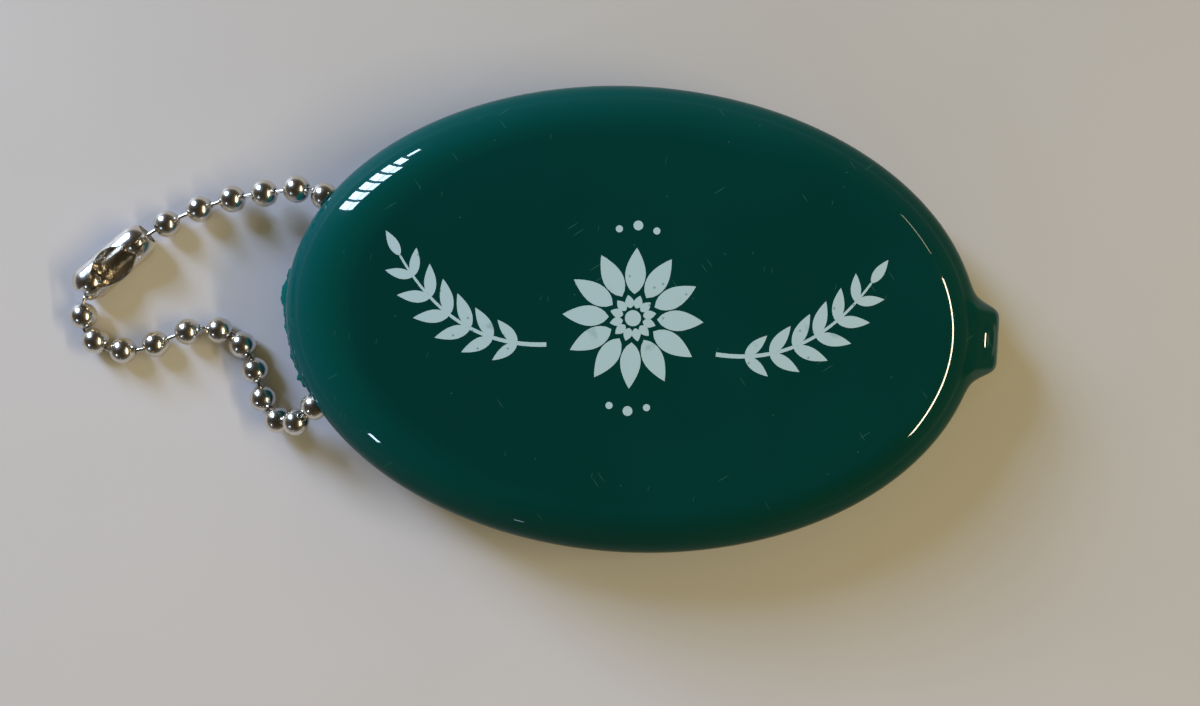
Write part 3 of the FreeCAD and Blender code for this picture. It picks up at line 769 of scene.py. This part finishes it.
def face_print():
    shapes = [disc(0, 0, HEART_RADIUS)]
    for side in (1, -1):
        shapes += [disc(x, side * y, radius) for x, y, radius in DOTS]
    shapes += spray(1) + spray(-1)
    for k in range(PETALS):
        heading = k / PETALS * TURN
        shapes.append(petal(heading, *OUTER_PETAL))
        shapes.append(petal(heading + TURN / PETALS / 2, *INNER_PETAL))
    points, faces = [], []
    for outline in shapes:
        first = len(points)
        ahead = np.roll(outline, -1, 0)
        area = (outline[:, 0] * ahead[:, 1] - outline[:, 1] * ahead[:, 0]).sum()
        outline = outline if area > 0 else outline[::-1]
        height = face_height(outline)
        points += [(*p, z + PRINT_LIFT) for p, z in zip(outline, height)]
        points += [(*p, z - PRINT_SINK) for p, z in zip(outline, height)]
        faces += [tuple(first + i for i in face) for face in capped_faces(2, len(outline))]
    ink = new_object("face_print", points, faces, INK_PRINT)
    crease(ink, VINYL_CREASE)
    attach(ink, "purse")


# The chain

def bead_axis(number):
    """The way from one hole of a bead to the other, from the edges that cross its wall."""
    mesh = frame["nodes"][f"chain_bead_{number:02d}"].data
    points = np.array([v.co for v in mesh.vertices]) / MM - bead_centre(number)
    edges = np.array([e.vertices for e in mesh.edges])
    reach = np.linalg.norm(points, axis=1)
    through = np.abs(reach[edges[:, 0]] - reach[edges[:, 1]]) > BEAD_WALL / 2
    rim = points[edges[through].ravel()]
    side = np.sign(rim @ rim[0])
    return unit((rim * side[:, None]).mean(0))


def arc_profile(radius, hole, steps):
    """Half a circle from the edge of one hole in a ball to the edge of the other."""
    start = math.asin(hole / radius)
    polar = np.linspace(start, math.pi - start, steps)
    return [(radius * math.cos(a), radius * math.sin(a)) for a in polar]


def bead_profile():
    """Half a section of a bead: its round outside, the rounded edges of its holes and its inside."""
    outside = arc_profile(BEAD_RADIUS, BEAD_HOLE + HOLE_ROUNDING, BEAD_STEPS)
    edge = [(outside[0][0] - depth, BEAD_HOLE + wider) for depth, wider in HOLE_EDGE]
    inside = arc_profile(BEAD_RADIUS - BEAD_SHEET, BEAD_HOLE + HOLE_FLARE, BEAD_STEPS // 2)
    return outside + [(-x, r) for x, r in edge] + inside[::-1] + edge[::-1]


def bead_skin(number, body):
    rotation = frame_of(bead_axis(number), BEAD_UP)
    profile = bead_profile()
    points = turned(profile, BEAD_SEGMENTS, rotation, bead_centre(number))
    faces = flipped(grid_faces(len(profile), BEAD_SEGMENTS, closed_rows=True))
    bead = new_object(f"bead_{number:02d}", points, faces, METAL)
    crease(bead, METAL_CREASE)
    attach(bead, body)
    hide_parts(f"chain_bead_{number:02d}")


def slot_half_angle(along, radius):
    """Half the slot's angle: wide in the middle, where a bead goes in, and narrow for the wire at both
    ends."""
    neck = np.arcsin(SLOT_NECK_HALF / radius)
    return neck + (SLOT_WINDOW - neck) * smooth_step(1 - np.abs(along) / SLOT_REACH)


def sleeve_sheet(radius):
    """A layer of the sleeve: rows along it, and points round it from one edge of the slot to the other."""
    end = math.acos(COUPLING_END_HOLE / radius)
    cap = COUPLING_REACH + radius * np.sin(np.linspace(end, 0, COUPLING_CAP_STEPS))
    tube = np.linspace(COUPLING_REACH, -COUPLING_REACH, COUPLING_TUBE_STEPS)[1:-1]
    along = np.concatenate([cap, tube, -cap[::-1]])
    past = np.clip(np.abs(along) - COUPLING_REACH, 0, None)
    round_radius = np.sqrt(radius**2 - past**2)
    gap = slot_half_angle(along, round_radius)
    share = np.linspace(0, 1, COUPLING_AROUND)
    angle = gap[:, None] + share * (TURN - 2 * gap[:, None])
    x = np.repeat(along[:, None], COUPLING_AROUND, 1)
    y = round_radius[:, None] * np.sin(angle)
    z = round_radius[:, None] * np.cos(angle)
    return np.stack([x, y, z], 2)


def coupling_skin():
    first, last = (bead_centre(number) for number in END_BEADS)
    rotation = frame_of((last - first) * LEVEL, UP)
    up = math.cos(COUPLING_ROLL) * rotation[:, 2] - math.sin(COUPLING_ROLL) * rotation[:, 1]
    rotation = np.column_stack([rotation[:, 0], np.cross(up, rotation[:, 0]), up])
    centre = (first + last) / 2
    centre[2] = COUPLING_RADIUS
    outer, inner = sleeve_sheet(COUPLING_RADIUS), sleeve_sheet(COUPLING_RADIUS - COUPLING_WALL)
    # each row is a closed loop: round the outside and back along the inside
    rows = np.concatenate([outer, inner[:, ::-1]], 1)
    steps, count = rows.shape[:2]
    faces = grid_faces(steps, count)
    shift = (steps - 1) * count
    for i in range(COUPLING_AROUND - 1):
        inside = count - 1 - i
        faces.append((i, i + 1, inside - 1, inside))
        faces.append((shift + inside, shift + inside - 1, shift + i + 1, shift + i))
    points = rows.reshape(-1, 3) @ rotation.T + centre
    sleeve = new_object("coupling_sleeve", points, faces, METAL)
    crease(sleeve, METAL_CREASE)
    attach(sleeve, "chain_coupling")
    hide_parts("chain_coupling")


def chain():
    bodies = frame["record"]["behaviour"]["bodies"]
    body_of = {node: body for body, nodes in bodies.items() for node in nodes}
    for name, node in frame["nodes"].items():
        if name.startswith("chain_bead"):
            bead_skin(int(name[-2:]), body_of[name])
        elif name.startswith("chain_link"):
            node.data.materials.clear()
            node.data.materials.append(METAL)
    coupling_skin()


# The table, the light and the camera, with their sizes in metres

TABLE_HALF = 1.5
TABLE_DROP = 0.00002
TABLE_CORNERS = ((-1, -1), (1, -1), (1, 1), (-1, 1))
TABLE_PAINTED_WINDOW_LIGHT = (0.478, 0.476, 0.532, 1)
TABLE_PAINTED_WARM_SHADE = (0.406, 0.400, 0.424, 1)
TABLE_STAIN = (0, 0, 0, 1)
# painted light: the colour goes from cool and lighter, as lit by the window, to warm and darker, along X
# plus the lean times Y, one span to each side of the middle
TABLE_LEAN = 1.2
TABLE_SPAN = 0.07
TABLE_PATCHES = (14.0, 6.0, 0.4, 0.75)
TABLE_MOTTLE = 0.06
TABLE_ROUGHNESS = 0.55


def table():
    material, tree, shader = new_material("table")
    where = place(tree)
    parts = add_node(tree, "ShaderNodeSeparateXYZ", [("Vector", where)]).outputs
    along = maths(tree, "ADD", parts["X"], maths(tree, "MULTIPLY", parts["Y"], TABLE_LEAN))
    # painted light on the table: cool and lighter towards the window, warm and darker away from it
    painted_light_tone = mixed(tree, ramped(tree, along, -TABLE_SPAN, TABLE_SPAN), TABLE_PAINTED_WINDOW_LIGHT, TABLE_PAINTED_WARM_SHADE)
    stain = maths(tree, "MULTIPLY", patches(tree, where, *TABLE_PATCHES), TABLE_MOTTLE)
    colour = mixed(tree, stain, painted_light_tone, TABLE_STAIN)
    feed(tree, shader, [("Base Color", colour), ("Roughness", TABLE_ROUGHNESS)])
    corners = np.array([(x * TABLE_HALF, y * TABLE_HALF, -TABLE_DROP) for x, y in TABLE_CORNERS]) / MM
    new_object("table", corners, [(0, 1, 2, 3)], material)


WINDOW_AZIMUTH = 137.0
WINDOW_DISTANCE = 1.0
# each pane's two sides and the elevations of its foot and head, in degrees
PANES = (
    (147.6, 144.9, 15.0, 44.0),
    (144.1, 141.6, 15.0, 44.0),
    (140.8, 138.4, 15.5, 44.0),
    (137.6, 135.3, 16.0, 44.0),
    (134.5, 132.3, 17.0, 43.0),
    (131.5, 129.5, 19.0, 34.0),
    (128.7, 126.0, 22.0, 27.0),
)
CROSSBAR_FROM, CROSSBAR_TO = 34.0, 34.9
WINDOW_GLOW = 38.0
WINDOW_COLOUR = (0.56, 0.72, 1.0)
BAR_AZIMUTH = 10.0
BAR_DISTANCE = 1.0
BAR_HEIGHT = 0.93
# each lit stretch of the bar: from, to, thickness and brightness
BAR_STRETCHES = ((-0.86, 0.18, 0.07, 50.0), (0.32, 0.56, 0.04, 8.0))
BAR_COLOUR = (1.0, 0.83, 0.56)
# small lights far off: azimuth, elevation, width and height in degrees, and brightness
GLINTS = ((-135.8, 31.0, 2.4, 5.0, 34.0), (-104.2, 10.0, 1.4, 2.5, 11.0))


def panel(name, centre, away, width, height, glow, colour):
    """A flat lamp that shines against the way it is given, with a brightness and a colour."""
    lamp = bpy.data.lights.new(name, "AREA")
    lamp.shape = "RECTANGLE"
    lamp.size, lamp.size_y = width, height
    lamp.energy = glow * math.pi * width * height
    lamp.color = colour
    obj = bpy.data.objects.new(name, lamp)
    scene.collection.objects.link(obj)
    back = unit(np.asarray(away, float))
    across = unit(np.cross(UP, back))
    turn = np.column_stack([across, np.cross(back, across), back])
    obj.matrix_world = Matrix.Translation(Vector(centre)) @ Matrix(turn.tolist()).to_4x4()
    obj.visible_camera = False


def level_ways(azimuth):
    """The level way towards an azimuth in degrees, and the level way to the left of it."""
    angle = math.radians(azimuth)
    away = np.array([math.cos(angle), math.sin(angle), 0])
    return away, np.array([-away[1], away[0], 0])


def seen_at(degrees):
    """How far an angle reaches on the window's plane, from the point straight ahead."""
    return WINDOW_DISTANCE * math.tan(math.radians(degrees))


def window():
    away, aside = level_ways(WINDOW_AZIMUTH)
    for *sides, foot, head in PANES:
        left, right = (seen_at(side - WINDOW_AZIMUTH) for side in sides)
        for sash in ((foot, min(head, CROSSBAR_FROM)), (CROSSBAR_TO, head)):
            low, high = (seen_at(elevation) for elevation in sash)
            if high > low:
                centre = away * WINDOW_DISTANCE + aside * (left + right) / 2
                centre[2] = (low + high) / 2
                panel("window", centre, away, abs(left - right), high - low, WINDOW_GLOW, WINDOW_COLOUR)


def lights():
    window()
    away, aside = level_ways(BAR_AZIMUTH)
    raised = away * BAR_DISTANCE + np.array([0, 0, BAR_HEIGHT])
    for start, end, thickness, glow in BAR_STRETCHES:
        panel("bar", raised + aside * (start + end) / 2, raised, end - start, thickness, glow, BAR_COLOUR)
    for *angles, glow in GLINTS:
        azimuth, elevation, width, height = np.radians(angles)
        level = math.cos(elevation)
        away = np.array([level * math.cos(azimuth), level * math.sin(azimuth), math.sin(elevation)])
        panel("glint", away, away, width, height, glow, WINDOW_COLOUR)


ROOM_COOL = (0.16, 0.15, 0.14, 1)
ROOM_WARM = (0.62, 0.48, 0.06, 1)
ROOM_SPAN = 0.7
# how the room looks in the ways from level at 0 to straight up at 1
ROOM_SEEN = (
    (0.0, (0.30, 0.29, 0.27, 1)),
    (0.12, (0.10, 0.09, 0.075, 1)),
    (0.45, (0.05, 0.04, 0.025, 1)),
    (0.85, (0.026, 0.02, 0.012, 1)),
)


def world():
    """A room whose light is cool on the window's side and warm on the other. The camera and polished things
    see it paler near the table and dark above."""
    room = bpy.data.worlds.new("room")
    room.use_nodes = True
    scene.world = room
    tree = room.node_tree
    way = add_node(tree, "ShaderNodeTexCoord").outputs["Generated"]
    parts = add_node(tree, "ShaderNodeSeparateXYZ", [("Vector", way)]).outputs
    light = mixed(tree, ramped(tree, parts["X"], -ROOM_SPAN, ROOM_SPAN), ROOM_COOL, ROOM_WARM)
    ramp = add_node(tree, "ShaderNodeValToRGB", [("Fac", parts["Z"])])
    while len(ramp.color_ramp.elements) < len(ROOM_SEEN):
        ramp.color_ramp.elements.new(1.0)
    for element, (position, colour) in zip(ramp.color_ramp.elements, ROOM_SEEN):
        element.position = position
        element.color = colour
    ray = add_node(tree, "ShaderNodeLightPath").outputs
    seen = maths(tree, "MAXIMUM", ray["Is Camera Ray"], ray["Is Glossy Ray"])
    seen = maths(tree, "MAXIMUM", seen, ray["Is Transmission Ray"])
    shade = mixed(tree, seen, light, ramp.outputs["Color"])
    feed(tree, tree.nodes["Background"], [("Color", shade)])


CAMERA_PLACE = (-0.00345, -0.00410, 0.1715)
CAMERA_TURN = 3.36
CAMERA_NEAR = 0.005
# the sensor's width in millimetres, and the picture's width and the focal length in pixels
SENSOR_WIDTH = 36.0
PICTURE_WIDTH = 1200
FOCAL_PIXELS = 1417


def camera():
    lens = bpy.data.cameras.new("camera")
    lens.sensor_width = SENSOR_WIDTH
    lens.lens = SENSOR_WIDTH * FOCAL_PIXELS / PICTURE_WIDTH
    lens.clip_start = CAMERA_NEAR
    eye = bpy.data.objects.new("camera", lens)
    eye.location = CAMERA_PLACE
    eye.rotation_euler = (0, 0, math.radians(CAMERA_TURN))
    scene.collection.objects.link(eye)
    scene.camera = eye


purse_skin()
lip_skin("lip_upper_skin", "mouth_lip_upper", 1)
lip_skin("lip_lower_skin", "mouth_lip_lower", -1)
face_print()
chain()
table()
lights()
world()
camera()
scene.view_settings.view_transform = "Standard"
